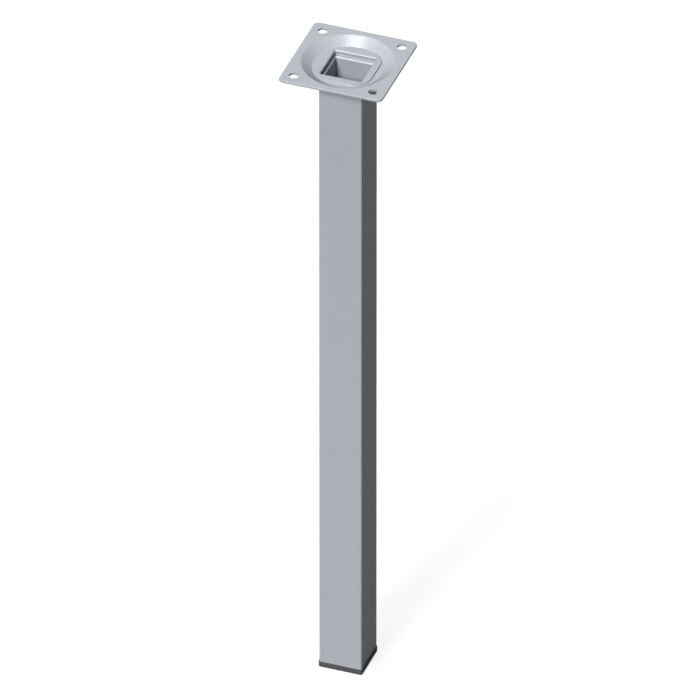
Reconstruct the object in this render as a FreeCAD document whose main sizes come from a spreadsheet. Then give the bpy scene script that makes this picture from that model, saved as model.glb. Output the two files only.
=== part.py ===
import FreeCAD, Part
import math
import os
import Sketcher

# Square steel table leg, standing on its foot: the origin is the centre of the foot's underside, +Z is up.
# A square tube is welded all round, across a small root gap, to the underside of a pressed fixing plate,
# and a ribbed plastic cap plugs its lower end. All sizes are in millimetres.

SIZES = (
    ("leg_height", 400.0, "floor to the plate's fixing face"),
    ("tube_width", 25.0, "square tube, across the flats"),
    ("tube_wall", 1.5, "tube wall"),
    ("tube_corner", 1.0, "outer corner radius of the tube"),
    ("tube_bore_corner", 0.4, "inner corner radius of the tube"),
    ("tube_mouth", 0.65, "bevel inside the tube's upper end"),
    ("plate_width", 60.0, "fixing plate, across the flats"),
    ("plate_corner", 3.0, "corner radius of the plate"),
    ("plate_sheet", 1.5, "sheet thickness of the plate"),
    ("plate_edge", 0.2, "bevel of the plate's cut edges"),
    ("flange_width", 3.7, "flat flange left between the plate's side and the dish"),
    ("dish_run", 6.7, "how far the dish narrows from its rim to its flat floor, on the radius"),
    ("dish_depth", 3.95, "fixing face down to the dish floor"),
    ("dish_bend", 0.3, "inside radius of the two bends of the dish"),
    ("boss_margin", 3.6, "raised square's side beyond the tube's side"),
    ("boss_corner", 9.5, "corner radius of the raised square"),
    ("boss_height", 0.95, "rise of the raised square above the dish floor"),
    ("opening_lip", 0.5, "how far the plate's opening is set inside the tube's side"),
    ("opening_corner", 0.6, "corner radius of the opening"),
    ("opening_bevel", 0.55, "bevel of the opening's upper edge"),
    ("screw_inset", 7.0, "plate side to screw hole centre"),
    ("screw_hole", 5.5, "screw hole diameter"),
    ("weld_gap", 1.15, "root gap between the plate's underside and the tube's end"),
    ("weld_leg", 2.6, "leg length of the weld, on the plate and down the tube"),
    ("weld_bulge", 0.35, "how far the weld's face bulges past a flat one"),
    ("cap_overhang", 0.45, "foot cap's side beyond the tube's side"),
    ("cap_lip", 3.4, "height of the cap below the tube"),
    ("cap_top_bevel", 0.12, "bevel of the cap's upper edge"),
    ("cap_foot_round", 0.5, "rounding of the cap's lower edge"),
    ("plug_length", 18.0, "how far the cap reaches into the tube"),
    ("plug_corner", 1.0, "corner radius of the plug's core"),
    ("plug_wall", 2.0, "wall of the hollow plug"),
    ("plug_floor", 1.0, "plastic left under the hollow, above the lip"),
    ("plug_tip", 1.6, "plug left above the last rib"),
    ("rib_count", 4, "ribs along the plug"),
    ("rib_depth", 1.5, "how far a rib stands out from the plug's core"),
    ("rib_thickness", 1.4, "thickness of a rib at its root"),
    ("rib_taper", 25.0, "lean of a rib's outer face, in degrees, narrowing towards the plug's tip"),
    ("rib_first", 2.4, "cap shoulder to the first rib"),
    ("rib_clearance", 0.05, "gap between rib and tube wall"),
)

SHOULDER = "sizes.cap_lip"
UNDERSIDE = "sizes.leg_height - sizes.dish_depth - sizes.plate_sheet"
TUBE_TOP = f"{UNDERSIDE} - sizes.weld_gap"
BORE_WIDTH = "sizes.tube_width - 2 * sizes.tube_wall"
RIB_WIDTH = f"{BORE_WIDTH} - 2 * sizes.rib_clearance"
PLUG_WIDTH = f"{RIB_WIDTH} - 2 * sizes.rib_depth"
RIM_RADIUS = "(sizes.plate_width / 2 - sizes.flange_width)"
OPENING_WIDTH = "sizes.tube_width - 2 * sizes.opening_lip"

doc = FreeCAD.newDocument("table_leg")


def make_sheet():
    sheet = doc.addObject("Spreadsheet::Sheet", "sizes")
    for row, (alias, value, note) in enumerate(SIZES, start=1):
        sheet.set(f"A{row}", alias)
        sheet.set(f"B{row}", str(value))
        sheet.setAlias(f"B{row}", alias)
        sheet.set(f"C{row}", note)
    doc.recompute()
    return sheet


sheet = make_sheet()


def value(expression):
    return float(sheet.evalExpression(expression))


def new_body(label):
    body = doc.addObject("PartDesign::Body", label)
    body.Label = label
    return body


def origin_feature(body, role):
    return next(feature for feature in body.Origin.OriginFeatures if feature.Role == role)


def new_sketch(body, name, role="XY_Plane", height=None):
    """A sketch on one of the body's origin planes, raised along the plane's normal by an expression."""
    sketch = body.newObject("Sketcher::SketchObject", name)
    sketch.AttachmentSupport = [(origin_feature(body, role), "")]
    sketch.MapMode = "FlatFace"
    if height:
        sketch.setExpression("AttachmentOffset.Base.z", height)
    return sketch


def dimension(sketch, name, expression, kind, *where):
    """A dimension of the sketch that follows an expression of the sheet."""
    index = sketch.addConstraint(Sketcher.Constraint(kind, *where, value(expression)))
    sketch.renameConstraint(index, name)
    sketch.setExpression(f"Constraints.{name}", expression)


def relate(sketch, kind, *where):
    sketch.addConstraint(Sketcher.Constraint(kind, *where))


def point(x, y):
    return FreeCAD.Vector(x, y, 0)


def arc(centre_x, centre_y, radius, start, end):
    circle = Part.Circle(point(centre_x, centre_y), FreeCAD.Vector(0, 0, 1), radius)
    return Part.ArcOfCircle(circle, math.radians(start), math.radians(end))


def draw_rounded_square(sketch, prefix, width, corner):
    """A square with rounded corners, centred on the sketch's origin."""
    half = value(width) / 2
    radius = value(corner)
    flat = half - radius
    lines = []
    arcs = []
    for quarter in range(4):
        turn = math.radians(90 * quarter)
        turned = [
            point(x * math.cos(turn) - y * math.sin(turn), x * math.sin(turn) + y * math.cos(turn))
            for x, y in ((half, -flat), (half, flat), (flat, flat))
        ]
        lines.append(sketch.addGeometry(Part.LineSegment(turned[0], turned[1])))
        bend = arc(turned[2].x, turned[2].y, radius, 90 * quarter, 90 * quarter + 90)
        arcs.append(sketch.addGeometry(bend))
    for quarter in range(4):
        relate(sketch, "Tangent", lines[quarter], 2, arcs[quarter], 1)
        relate(sketch, "Tangent", arcs[quarter], 2, lines[(quarter + 1) % 4], 1)
        relate(sketch, "Horizontal" if quarter % 2 else "Vertical", lines[quarter])
    for quarter in range(1, 4):
        relate(sketch, "Equal", arcs[0], arcs[quarter])
    relate(sketch, "Equal", lines[0], lines[1])
    relate(sketch, "Symmetric", arcs[0], 3, arcs[2], 3, -1, 1)
    dimension(sketch, prefix + "_width", width, "DistanceX", lines[2], 1, lines[0], 2)
    dimension(sketch, prefix + "_corner", corner, "Radius", arcs[0])


def draw_circle(sketch, prefix, diameter, x=None, y=None):
    """A circle on the sketch's origin, or at the place that two expressions give."""
    place = point(value(x) if x else 0, value(y) if y else 0)
    circle = Part.Circle(place, FreeCAD.Vector(0, 0, 1), value(diameter) / 2)
    index = sketch.addGeometry(circle)
    if x:
        dimension(sketch, prefix + "_x", x, "DistanceX", -1, 1, index, 3)
        dimension(sketch, prefix + "_y", y, "DistanceY", -1, 1, index, 3)
    else:
        relate(sketch, "Coincident", index, 3, -1, 1)
    dimension(sketch, prefix + "_diameter", diameter, "Diameter", index)


def pad(body, name, sketch, length):
    feature = body.newObject("PartDesign::Pad", name)
    feature.Profile = sketch
    feature.setExpression("Length", length)
    return feature


def pocket(body, name, sketch, depth=None):
    """A cut below the sketch, to a depth or right through."""
    feature = body.newObject("PartDesign::Pocket", name)
    feature.Profile = sketch
    if depth:
        feature.setExpression("Length", depth)
    else:
        feature.Type = "ThroughAll"
    return feature


def edges_at(feature, height, reach):
    """Names of the feature's edges that lie level at a height, wholly within a distance of the axis."""
    names = []
    for number, edge in enumerate(feature.Shape.Edges, start=1):
        box = edge.BoundBox
        level = abs(box.ZMin - height) < 1e-4 and abs(box.ZMax - height) < 1e-4
        near, far = reach
        distance = max(abs(box.XMin), abs(box.XMax), abs(box.YMin), abs(box.YMax))
        if level and near <= distance <= far:
            names.append(f"Edge{number}")
    return names


def fillet(body, name, base, edges, radius):
    feature = body.newObject("PartDesign::Fillet", name)
    feature.Base = (base, edges)
    feature.setExpression("Radius", radius)
    return feature


def bevel(body, name, base, edges, size):
    feature = body.newObject("PartDesign::Chamfer", name)
    feature.Base = (base, edges)
    feature.setExpression("Size", size)
    return feature


def make_tube():
    body = new_body("leg_tube")
    section = new_sketch(body, "tube_section", height=SHOULDER)
    draw_rounded_square(section, "outside", "sizes.tube_width", "sizes.tube_corner")
    draw_rounded_square(section, "bore", BORE_WIDTH, "sizes.tube_bore_corner")
    length = pad(body, "tube_length", section, f"{TUBE_TOP} - {SHOULDER}")
    doc.recompute()
    mouth = edges_at(length, value(TUBE_TOP), (0, value(BORE_WIDTH) / 2 + 1e-3))
    bevel(body, "tube_mouth", length, mouth, "sizes.tube_mouth")
    return body


def draw_dish_profile(sketch):
    """Half section of the dish: a bend at the rim, a sloping wall, a bend at the floor, and the flat floor."""
    rim = value(RIM_RADIUS)
    floor = rim - value("sizes.dish_run")
    top = value("sizes.leg_height")
    sheet_thickness = value("sizes.plate_sheet")
    inner = value("sizes.dish_bend")
    outer = inner + sheet_thickness
    floor_top = top - value("sizes.dish_depth")
    rim_centre = point(rim, top - outer)
    floor_centre = point(floor, floor_top + inner)
    # The wall is tangent to both upper arcs, which bend opposite ways, so it crosses between their centres.
    across = math.hypot(rim_centre.x - floor_centre.x, rim_centre.y - floor_centre.y)
    lean = math.degrees(math.atan2(rim_centre.y - floor_centre.y, rim_centre.x - floor_centre.x))
    slope = lean + math.degrees(math.asin((outer + inner) / across))
    upward = 90 + slope
    rim_upper = arc(rim_centre.x, rim_centre.y, outer, 90, upward)
    rim_lower = arc(rim_centre.x, rim_centre.y, inner, 90, upward)
    floor_upper = arc(floor_centre.x, floor_centre.y, inner, 270, 270 + slope)
    floor_lower = arc(floor_centre.x, floor_centre.y, outer, 270, 270 + slope)
    shapes = (
        Part.LineSegment(rim_lower.StartPoint, rim_upper.StartPoint),
        rim_upper,
        Part.LineSegment(rim_upper.EndPoint, floor_upper.EndPoint),
        floor_upper,
        Part.LineSegment(floor_upper.StartPoint, point(0, floor_top)),
        Part.LineSegment(point(0, floor_top), point(0, floor_top - sheet_thickness)),
        Part.LineSegment(point(0, floor_top - sheet_thickness), floor_lower.StartPoint),
        floor_lower,
        Part.LineSegment(floor_lower.EndPoint, rim_lower.EndPoint),
        rim_lower,
    )
    edge, top_bend, wall, low_bend, floor_line, axis, under, low_outer, under_wall, top_inner = (
        sketch.addGeometry(shape) for shape in shapes
    )
    relate(sketch, "Vertical", edge)
    relate(sketch, "Vertical", axis)
    relate(sketch, "Horizontal", floor_line)
    relate(sketch, "Horizontal", under)
    relate(sketch, "PointOnObject", axis, 1, -2)
    relate(sketch, "Coincident", edge, 2, top_bend, 1)
    relate(sketch, "Tangent", top_bend, 2, wall, 1)
    relate(sketch, "Tangent", wall, 2, low_bend, 2)
    relate(sketch, "Tangent", low_bend, 1, floor_line, 1)
    relate(sketch, "Coincident", floor_line, 2, axis, 1)
    relate(sketch, "Coincident", axis, 2, under, 1)
    relate(sketch, "Tangent", under, 2, low_outer, 1)
    relate(sketch, "Tangent", low_outer, 2, under_wall, 1)
    relate(sketch, "Tangent", under_wall, 2, top_inner, 2)
    relate(sketch, "Coincident", top_inner, 1, edge, 1)
    relate(sketch, "Coincident", top_bend, 3, top_inner, 3)
    relate(sketch, "Coincident", low_bend, 3, low_outer, 3)
    relate(sketch, "PointOnObject", top_bend, 3, edge)
    dimension(sketch, "rim_radius", RIM_RADIUS, "DistanceX", -1, 1, edge, 2)
    dimension(sketch, "fixing_face", "sizes.leg_height", "DistanceY", -1, 1, edge, 2)
    dimension(sketch, "depth", "sizes.dish_depth", "DistanceY", axis, 1, edge, 2)
    dimension(sketch, "run", "sizes.dish_run", "DistanceX", floor_line, 1, edge, 2)
    dimension(sketch, "rim_outer", "sizes.dish_bend + sizes.plate_sheet", "Radius", top_bend)
    dimension(sketch, "rim_inner", "sizes.dish_bend", "Radius", top_inner)
    dimension(sketch, "floor_inner", "sizes.dish_bend", "Radius", low_bend)


def make_plate():
    body = new_body("mounting_plate")
    floor_top = "sizes.leg_height - sizes.dish_depth"
    boss_top = f"{floor_top} + sizes.boss_height"

    outline = new_sketch(body, "flange_outline", height="sizes.leg_height - sizes.plate_sheet")
    draw_rounded_square(outline, "plate", "sizes.plate_width", "sizes.plate_corner")
    draw_circle(outline, "rim", f"2 * {RIM_RADIUS}")
    pad(body, "flange", outline, "sizes.plate_sheet")

    profile = new_sketch(body, "dish_profile", role="XZ_Plane")
    draw_dish_profile(profile)
    dish = body.newObject("PartDesign::Revolution", "dish")
    dish.Profile = profile
    dish.ReferenceAxis = (profile, ["V_Axis"])
    dish.Angle = 360

    raised = new_sketch(body, "boss_outline", height=floor_top)
    draw_rounded_square(raised, "boss", "sizes.tube_width + 2 * sizes.boss_margin", "sizes.boss_corner")
    pad(body, "boss", raised, "sizes.boss_height")

    square = new_sketch(body, "opening_outline", height=boss_top)
    draw_rounded_square(square, "opening", OPENING_WIDTH, "sizes.opening_corner")
    opening = pocket(body, "opening", square)
    doc.recompute()
    lip = edges_at(opening, value(boss_top), (0, value(OPENING_WIDTH) / 2 + 1e-3))
    bevelled = bevel(body, "opening_lip", opening, lip, "sizes.opening_bevel")
    doc.recompute()

    half_plate = value("sizes.plate_width") / 2
    outer = (half_plate - value("sizes.plate_corner") - 1e-3, half_plate + 1e-3)
    face = value("sizes.leg_height")
    back = face - value("sizes.plate_sheet")
    cut_edges = edges_at(bevelled, face, outer) + edges_at(bevelled, back, outer)
    bevel(body, "cut_edges", bevelled, cut_edges, "sizes.plate_edge")

    drill = new_sketch(body, "screw_hole_centre", height="sizes.leg_height")
    reach = "(sizes.plate_width / 2 - sizes.screw_inset)"
    draw_circle(drill, "screw", "sizes.screw_hole", x=reach, y=reach)
    hole = pocket(body, "screw_hole", drill)
    doc.recompute()
    holes = body.newObject("PartDesign::PolarPattern", "screw_holes")
    holes.Originals = [hole]
    holes.Axis = (origin_feature(body, "Z_Axis"), [""])
    holes.Angle = 360
    holes.Occurrences = 4
    body.Tip = holes
    return body


def make_weld():
    """A bead all round the tube, which closes the root gap under the plate and laps down the tube."""
    body = new_body("weld_bead")
    path = new_sketch(body, "weld_path", height=UNDERSIDE)
    draw_rounded_square(path, "path", "sizes.tube_width", "sizes.tube_corner")

    section = new_sketch(body, "weld_section", role="XZ_Plane")
    wall = value("sizes.tube_width / 2")
    top = value(UNDERSIDE)
    leg = value("sizes.weld_leg")
    bulge = value("sizes.weld_bulge")
    toe = point(wall + leg, top)
    heel = point(wall, top - leg)
    middle = point(wall + leg / 2 + bulge / math.sqrt(2), top - leg / 2 - bulge / math.sqrt(2))
    along_plate = section.addGeometry(Part.LineSegment(point(wall, top), toe))
    along_tube = section.addGeometry(Part.LineSegment(heel, point(wall, top)))
    face_arc = Part.Arc(heel, middle, toe)
    face = section.addGeometry(face_arc)
    first, last = (1, 2) if (face_arc.StartPoint - heel).Length < 1e-6 else (2, 1)
    relate(section, "Horizontal", along_plate)
    relate(section, "Vertical", along_tube)
    relate(section, "Coincident", along_tube, 2, along_plate, 1)
    relate(section, "Coincident", along_plate, 2, face, last)
    relate(section, "Coincident", along_tube, 1, face, first)
    dimension(section, "wall", "sizes.tube_width / 2", "DistanceX", -1, 1, along_plate, 1)
    dimension(section, "top", UNDERSIDE, "DistanceY", -1, 1, along_plate, 1)
    dimension(section, "plate_leg", "sizes.weld_leg", "DistanceX", along_plate, 1, along_plate, 2)
    dimension(section, "tube_leg", "sizes.weld_leg", "DistanceY", along_tube, 1, along_tube, 2)
    radius = "(sizes.weld_leg ^ 2 / 2 + sizes.weld_bulge ^ 2) / (2 * sizes.weld_bulge)"
    dimension(section, "face_radius", radius, "Radius", face)

    bead = body.newObject("PartDesign::AdditivePipe", "bead")
    bead.Profile = section
    bead.Spine = (path, [f"Edge{number}" for number in range(1, 9)])
    return body


def make_cap():
    body = new_body("foot_cap")
    foot = new_sketch(body, "foot_outline")
    cap_width = "sizes.tube_width + 2 * sizes.cap_overhang"
    draw_rounded_square(foot, "foot", cap_width, "sizes.tube_corner + sizes.cap_overhang")
    lip = pad(body, "lip", foot, SHOULDER)
    doc.recompute()
    reach = (0, value(cap_width))
    lower = fillet(body, "lower_edge", lip, edges_at(lip, 0, reach), "sizes.cap_foot_round")
    doc.recompute()
    bevel(body, "upper_edge", lower, edges_at(lower, value(SHOULDER), reach), "sizes.cap_top_bevel")
    doc.recompute()

    core = new_sketch(body, "plug_outline", height=SHOULDER)
    draw_rounded_square(core, "core", PLUG_WIDTH, "sizes.plug_corner")
    pad(body, "plug", core, "sizes.plug_length")

    rib = new_sketch(body, "rib_outline", height=f"{SHOULDER} + sizes.rib_first")
    draw_rounded_square(rib, "rib", RIB_WIDTH, "sizes.tube_bore_corner + sizes.rib_clearance")
    first_rib = pad(body, "rib", rib, "sizes.rib_thickness")
    first_rib.setExpression("TaperAngle", "-sizes.rib_taper")
    doc.recompute()
    ribs = body.newObject("PartDesign::LinearPattern", "ribs")
    ribs.Originals = [first_rib]
    ribs.Direction = (origin_feature(body, "Z_Axis"), [""])
    ribs.setExpression(
        "Length", "sizes.plug_length - sizes.rib_first - sizes.rib_thickness - sizes.plug_tip"
    )
    ribs.setExpression("Occurrences", "sizes.rib_count")
    body.Tip = ribs

    inside = new_sketch(body, "plug_hollow", height=f"{SHOULDER} + sizes.plug_length")
    draw_rounded_square(inside, "hollow", f"{PLUG_WIDTH} - 2 * sizes.plug_wall", "sizes.plug_corner")
    hollow = pocket(body, "hollow", inside, "sizes.plug_length - sizes.plug_floor")
    body.Tip = hollow
    return body


def check_document():
    for item in doc.Objects:
        if "Invalid" in item.State or "Error" in item.State:
            raise RuntimeError(f"{item.Name} failed: {item.State}")


def write_parts(bodies):
    os.makedirs("parts", exist_ok=True)
    for body in bodies:
        shape = body.Shape
        if shape.isNull() or not shape.isValid():
            raise RuntimeError(f"{body.Label} has no valid shape")
        shape.exportStep(f"parts/{body.Label}.step")
        print(body.Label, "solids", len(shape.Solids), "volume", round(shape.Volume, 2), "mm3")


bodies = [make_tube(), make_plate(), make_weld(), make_cap()]
doc.recompute()
check_document()
write_parts(bodies)
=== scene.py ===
import math

import bpy
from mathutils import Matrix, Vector


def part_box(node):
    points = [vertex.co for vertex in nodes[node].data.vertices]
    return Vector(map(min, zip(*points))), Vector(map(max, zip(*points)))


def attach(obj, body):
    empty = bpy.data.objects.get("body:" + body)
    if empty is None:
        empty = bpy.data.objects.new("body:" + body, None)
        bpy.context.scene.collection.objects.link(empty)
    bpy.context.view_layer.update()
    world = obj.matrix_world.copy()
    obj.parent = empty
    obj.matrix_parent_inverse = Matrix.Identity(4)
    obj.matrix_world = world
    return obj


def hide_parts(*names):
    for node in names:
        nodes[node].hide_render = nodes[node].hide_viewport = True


# Looks of a square steel table leg: powder-coated tube, pressed fixing plate and the weld between them,
# and a black plastic foot cap. Lengths are in metres, in the frame of the solids: the foot's underside is
# at z = 0, and the plate's face is on top.

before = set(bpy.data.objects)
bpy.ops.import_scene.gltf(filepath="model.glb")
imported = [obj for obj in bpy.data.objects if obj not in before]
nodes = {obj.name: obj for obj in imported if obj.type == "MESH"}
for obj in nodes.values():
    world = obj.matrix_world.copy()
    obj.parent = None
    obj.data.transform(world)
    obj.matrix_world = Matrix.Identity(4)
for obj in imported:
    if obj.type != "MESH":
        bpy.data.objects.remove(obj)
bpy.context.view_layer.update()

MM = 0.001

# The powder coat. Colours are linear, and a pair is the range that a pattern runs through.
COAT_LIGHT = (0.480, 0.510, 0.545, 1)
COAT_DARK = (0.430, 0.460, 0.495, 1)
COAT_CLOUD_SIZE = 35 * MM
COAT_CLOUD_SHARE = (0.7, 1.0)
COAT_GRAIN_SIZE = 0.5 * MM
COAT_GRAIN_SHARE = (0.2, 1.0)
COAT_GRAIN_DEPTH = 0.008 * MM
COAT_DIMPLE_SIZE = 2.2 * MM
COAT_DIMPLE_DEPTH = 0.035 * MM
COAT_EDGE_RADIUS = 0.08 * MM
COAT_ROUGHNESS = (0.29, 0.33)
COAT_METALLIC = 0.155
COAT_SPECULAR = 0.02
COAT_SPECULAR_TINT = (0, 0, 0, 1)

# The cap's plastic
CAP_LIGHT = (0.110, 0.113, 0.115, 1)
CAP_DARK = (0.094, 0.097, 0.099, 1)
CAP_CLOUD_SIZE = 6 * MM
CAP_GRAIN_SIZE = 0.22 * MM
CAP_GRAIN_SHARE = (0.0, 1.0)
CAP_GRAIN_DEPTH = 0.01 * MM
CAP_EDGE_RADIUS = 0.06 * MM
CAP_ROUGHNESS = (0.52, 0.62)
CAP_SPECULAR = 0.03

# Where most of a noise's values lie, and the rays that round an edge
NOISE_MIDDLE = (0.35, 0.65)
EDGE_SAMPLES = 6

# The weld's ripples, laid side by side round the tube
TUBE_CORNER = 1.0 * MM
WELD_BULGE = 0.35 * MM
RIPPLE_PITCH = 1.5 * MM
RIPPLE_DEPTH = 0.2 * MM
RIPPLE_TRAIL = 0.9
STEPS_PER_RIPPLE = 8
FACE_STEPS = 14

# The studio: a floor that is seen as white, and a little light from all round
FLOOR_REACH = 4.0
FLOOR_GLOW = 0.84
FLOOR_SHADE = (0.18, 0.18, 0.18, 1)
FLOOR_BOUNCE = (0.08, 0.08, 0.08, 1)
AMBIENT = (0.03, 0.03, 0.031, 1)
WHITE = (1, 1, 1, 1)

# The view: almost parallel, from above and a little to the right of the front
VIEW_AZIMUTH = 20
VIEW_ELEVATION = 35
VIEW_CENTRE = Vector((0, 0, 0.2093))
VIEW_WIDTH = 0.3817
LENS = 1500
SENSOR = 36


def direction(azimuth, elevation):
    """From the leg towards a place, in degrees to the right of the front and above the horizon."""
    turn, rise = math.radians(azimuth), math.radians(elevation)
    return Vector((math.sin(turn) * math.cos(rise), -math.cos(turn) * math.cos(rise), math.sin(rise)))


def add_object(name, data):
    item = bpy.data.objects.new(name, data)
    bpy.context.scene.collection.objects.link(item)
    return item


def aim(item, facing):
    """Turns a lamp or the camera to face along a direction."""
    item.rotation_mode = "QUATERNION"
    item.rotation_quaternion = facing.to_track_quat("-Z", "Y")


def new_material(name):
    """A material with its node tree and its principled shader."""
    material = bpy.data.materials.new(name)
    material.use_nodes = True
    tree = material.node_tree
    return material, tree, tree.nodes["Principled BSDF"]


def set_input(tree, socket, value):
    """Sets a socket to a value, or links it to another socket."""
    if isinstance(value, bpy.types.NodeSocket):
        tree.links.new(value, socket)
    else:
        socket.default_value = value


def add_node(tree, kind, settings=None, **inputs):
    """A node with some of its properties set, and its inputs set by name, with _ for a space."""
    node = tree.nodes.new(kind)
    for key, setting in (settings or {}).items():
        setattr(node, key, setting)
    for key, value in inputs.items():
        set_input(tree, node.inputs[key.replace("_", " ")], value)
    return node


def calculate(tree, operation, first, second):
    node = add_node(tree, "ShaderNodeMath", {"operation": operation})
    set_input(tree, node.inputs[0], first)
    set_input(tree, node.inputs[1], second)
    return node.outputs["Value"]


def object_place(tree):
    return add_node(tree, "ShaderNodeTexCoord").outputs["Object"]


def noise(tree, place, size, detail):
    """Noise whose features are about the given size."""
    return add_node(tree, "ShaderNodeTexNoise", Vector=place, Scale=1 / size, Detail=detail).outputs["Fac"]


def span(tree, value, reach):
    """A noise carried from the middle of its range to another range."""
    start, end = NOISE_MIDDLE
    low, high = reach
    node = add_node(
        tree, "ShaderNodeMapRange", Value=value, From_Min=start, From_Max=end, To_Min=low, To_Max=high
    )
    return node.outputs["Result"]


def blend_colours(tree, share, first, second):
    node = add_node(tree, "ShaderNodeMix", {"data_type": "RGBA"}, Factor=share)
    sockets = {socket.identifier: socket for socket in (*node.inputs, *node.outputs)}
    sockets["A_Color"].default_value = first
    sockets["B_Color"].default_value = second
    return sockets["Result_Color"]


def rounded_edges(tree, radius):
    """The surface's normal with its edges rounded a little, as a coat or a mould leaves them."""
    return add_node(tree, "ShaderNodeBevel", {"samples": EDGE_SAMPLES}, Radius=radius).outputs["Normal"]


def bump(tree, height, depth, normal):
    return add_node(tree, "ShaderNodeBump", Height=height, Distance=depth, Normal=normal).outputs["Normal"]


def make_coat():
    """Satin grey powder coat: faint clouds of tone, fine grain, and the soft dimples of a baked finish."""
    material, tree, shader = new_material("powder_coat")
    place = object_place(tree)
    clouds = noise(tree, place, COAT_CLOUD_SIZE, detail=3)
    grain = noise(tree, place, COAT_GRAIN_SIZE, detail=1)
    dimples = noise(tree, place, COAT_DIMPLE_SIZE, detail=1.5)
    cloud_share = span(tree, clouds, COAT_CLOUD_SHARE)
    grain_share = span(tree, grain, COAT_GRAIN_SHARE)
    share = calculate(tree, "MULTIPLY", cloud_share, grain_share)
    dimpled = bump(tree, dimples, COAT_DIMPLE_DEPTH, rounded_edges(tree, COAT_EDGE_RADIUS))
    tree.links.new(blend_colours(tree, share, COAT_DARK, COAT_LIGHT), shader.inputs["Base Color"])
    tree.links.new(span(tree, clouds, COAT_ROUGHNESS), shader.inputs["Roughness"])
    tree.links.new(bump(tree, grain, COAT_GRAIN_DEPTH, dimpled), shader.inputs["Normal"])
    shader.inputs["Metallic"].default_value = COAT_METALLIC
    shader.inputs["Specular Tint"].default_value = COAT_SPECULAR_TINT
    shader.inputs["Specular IOR Level"].default_value = COAT_SPECULAR
    return material


def make_plastic():
    """Black moulded plastic with a fine spark-eroded grain."""
    material, tree, shader = new_material("grained_plastic")
    place = object_place(tree)
    grain = noise(tree, place, CAP_GRAIN_SIZE, detail=1)
    clouds = noise(tree, place, CAP_CLOUD_SIZE, detail=2)
    share = span(tree, grain, CAP_GRAIN_SHARE)
    grained = bump(tree, grain, CAP_GRAIN_DEPTH, rounded_edges(tree, CAP_EDGE_RADIUS))
    tree.links.new(blend_colours(tree, share, CAP_DARK, CAP_LIGHT), shader.inputs["Base Color"])
    tree.links.new(span(tree, clouds, CAP_ROUGHNESS), shader.inputs["Roughness"])
    tree.links.new(grained, shader.inputs["Normal"])
    shader.inputs["Specular IOR Level"].default_value = CAP_SPECULAR
    return material


def dress(piece, material):
    piece.data.materials.clear()
    piece.data.materials.append(material)


def square_path(half, corner, pitch, steps_per_pitch):
    """Points evenly spaced round a square with rounded corners, a whole number of pitches long.

    Each point comes with its outward direction.
    """
    flat = half - corner
    side = 2 * flat
    bend = corner * math.pi / 2
    around = 4 * (side + bend)
    steps = round(around / pitch) * steps_per_pitch
    points = []
    for step in range(steps):
        quarter, rest = divmod(around * step / steps, side + bend)
        turn = quarter * math.pi / 2
        if rest < side:
            x, y, angle = half, rest - flat, 0.0
        else:
            angle = (rest - side) / corner
            x, y = flat + corner * math.cos(angle), flat + corner * math.sin(angle)
        place = Vector((x * math.cos(turn) - y * math.sin(turn), x * math.sin(turn) + y * math.cos(turn)))
        outward = Vector((math.cos(angle + turn), math.sin(angle + turn)))
        points.append((place, outward))
    return points


def weld_face(leg):
    """The bead's bulging face as an arc from the tube to the plate.

    Each point says how far across the face it is, from -1 to 1, how far out from the tube and how far down.
    """
    radius = (leg ** 2 / 2 + WELD_BULGE ** 2) / (2 * WELD_BULGE)
    centre = leg / 2 - (radius - WELD_BULGE) / math.sqrt(2)
    half_angle = math.asin(leg / math.sqrt(2) / radius)
    face = []
    for number in range(FACE_STEPS + 1):
        across = 2 * number / FACE_STEPS - 1
        angle = math.pi / 4 + half_angle * across
        face.append((across, centre + radius * math.sin(angle), centre + radius * math.cos(angle)))
    return face


def ripple_sink(step, across):
    """How deep a point lies below the crests: each crescent trails, and fades out, at the bead's edges."""
    phase = (step / STEPS_PER_RIPPLE + RIPPLE_TRAIL * across ** 2) % 1.0
    crescent = 1 - math.sqrt(1 - (2 * phase - 1) ** 2)
    return RIPPLE_DEPTH * crescent * (1 - across ** 4)


def make_weld():
    """The weld as it is laid: a bead of overlapping crescents all round the tube, under the plate."""
    tube_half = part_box("leg_tube")[1].x
    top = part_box("weld_bead")[1].z
    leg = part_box("weld_bead")[1].x - tube_half
    path = square_path(tube_half, TUBE_CORNER, RIPPLE_PITCH, STEPS_PER_RIPPLE)
    face = weld_face(leg)
    vertices = []
    for step, (place, outward) in enumerate(path):
        for across, out, down in face:
            sink = ripple_sink(step, across) / math.sqrt(2)
            point = place + outward * (out - sink)
            vertices.append((point.x, point.y, top - (down - sink)))
        vertices.append((place.x, place.y, top))
    steps = len(path)
    ring = len(face) + 1
    faces = []
    for step in range(steps):
        here = step * ring
        after = (step + 1) % steps * ring
        for number in range(ring):
            beside = (number + 1) % ring
            faces.append((here + number, after + number, after + beside, here + beside))
    mesh = bpy.data.meshes.new("rippled_weld")
    mesh.from_pydata(vertices, [], faces)
    mesh.validate()
    mesh.shade_smooth()
    return add_object("rippled_weld", mesh)


def show_white(tree, lit, shown, output):
    """One shader for light on its way round, and another for rays that show the background.

    Those come from the camera, off gloss and through clear things.
    """
    rays = add_node(tree, "ShaderNodeLightPath").outputs
    direct = calculate(tree, "MAXIMUM", rays["Is Camera Ray"], rays["Is Glossy Ray"])
    share = calculate(tree, "MAXIMUM", direct, rays["Is Transmission Ray"])
    choice = add_node(tree, "ShaderNodeMixShader", Fac=share)
    tree.links.new(lit, choice.inputs[1])
    tree.links.new(shown, choice.inputs[2])
    tree.links.new(choice.outputs["Shader"], tree.nodes[output].inputs["Surface"])


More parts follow.
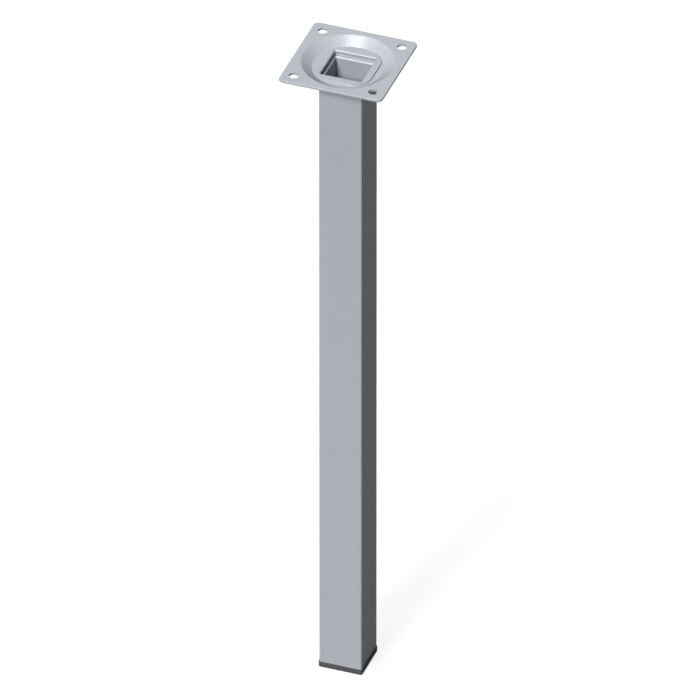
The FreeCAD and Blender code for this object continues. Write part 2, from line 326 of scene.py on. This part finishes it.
def make_floor():
    """A plain white floor that keeps the leg's shadow and throws little light back up at it."""
    mesh = bpy.data.meshes.new("floor")
    corners = [(x * FLOOR_REACH, y * FLOOR_REACH, 0) for x, y in ((-1, -1), (1, -1), (1, 1), (-1, 1))]
    mesh.from_pydata(corners, [], [(0, 1, 2, 3)])
    floor = add_object("floor", mesh)
    material, tree, shader = new_material("floor_white")
    tree.nodes.remove(shader)
    bounce = add_node(tree, "ShaderNodeBsdfDiffuse", Color=FLOOR_BOUNCE)
    shade = add_node(tree, "ShaderNodeBsdfDiffuse", Color=FLOOR_SHADE)
    glow = add_node(tree, "ShaderNodeEmission", Color=WHITE, Strength=FLOOR_GLOW)
    shown = add_node(tree, "ShaderNodeAddShader")
    tree.links.new(shade.outputs["BSDF"], shown.inputs[0])
    tree.links.new(glow.outputs["Emission"], shown.inputs[1])
    show_white(tree, bounce.outputs["BSDF"], shown.outputs["Shader"], "Material Output")
    dress(floor, material)


def make_world():
    world = bpy.data.worlds.new("studio")
    bpy.context.scene.world = world
    world.use_nodes = True
    tree = world.node_tree
    ambient = tree.nodes["Background"]
    ambient.inputs["Color"].default_value = AMBIENT
    white = add_node(tree, "ShaderNodeBackground", Color=WHITE)
    show_white(tree, ambient.outputs["Background"], white.outputs["Background"], "World Output")


def make_lamp(name, towards, level, spread):
    """A broad distant lamp. Its level is what a white surface square to it sends back, where 1 is white."""
    data = bpy.data.lights.new(name, "SUN")
    data.energy = level * math.pi
    data.angle = math.radians(spread)
    aim(add_object(name, data), -towards)


def make_panel(name, place, size, level):
    """An upright panel lamp that faces the leg, with its level as it is where the leg stands."""
    inward = Vector((-place[0], -place[1], 0))
    data = bpy.data.lights.new(name, "AREA")
    data.shape = "RECTANGLE"
    data.size, data.size_y = size
    data.energy = level * (math.pi * inward.length) ** 2
    panel = add_object(name, data)
    panel.location = place
    panel.visible_camera = False
    aim(panel, inward)


def make_camera():
    back = direction(VIEW_AZIMUTH, VIEW_ELEVATION)
    distance = VIEW_WIDTH * LENS / SENSOR
    data = bpy.data.cameras.new("camera")
    data.lens = LENS
    data.sensor_width = SENSOR
    camera = add_object("camera", data)
    camera.location = VIEW_CENTRE + back * distance
    aim(camera, -back)
    bpy.context.scene.camera = camera


coat = make_coat()
plastic = make_plastic()
for name in ("leg_tube", "mounting_plate", "weld_bead"):
    dress(nodes[name], coat)
dress(nodes["foot_cap"], plastic)

weld = make_weld()
dress(weld, coat)
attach(weld, "root")
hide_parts("weld_bead")

make_floor()
make_world()
make_lamp("front", direction(azimuth=-9.8, elevation=37), level=0.98, spread=14)
make_lamp("overhead", direction(azimuth=-59.6, elevation=80.33), level=0.48, spread=23)
make_panel("back", place=(-0.62, 0.78, 0.19), size=(0.6, 0.34), level=0.6)
make_camera()

bpy.context.scene.view_settings.view_transform = "Standard"
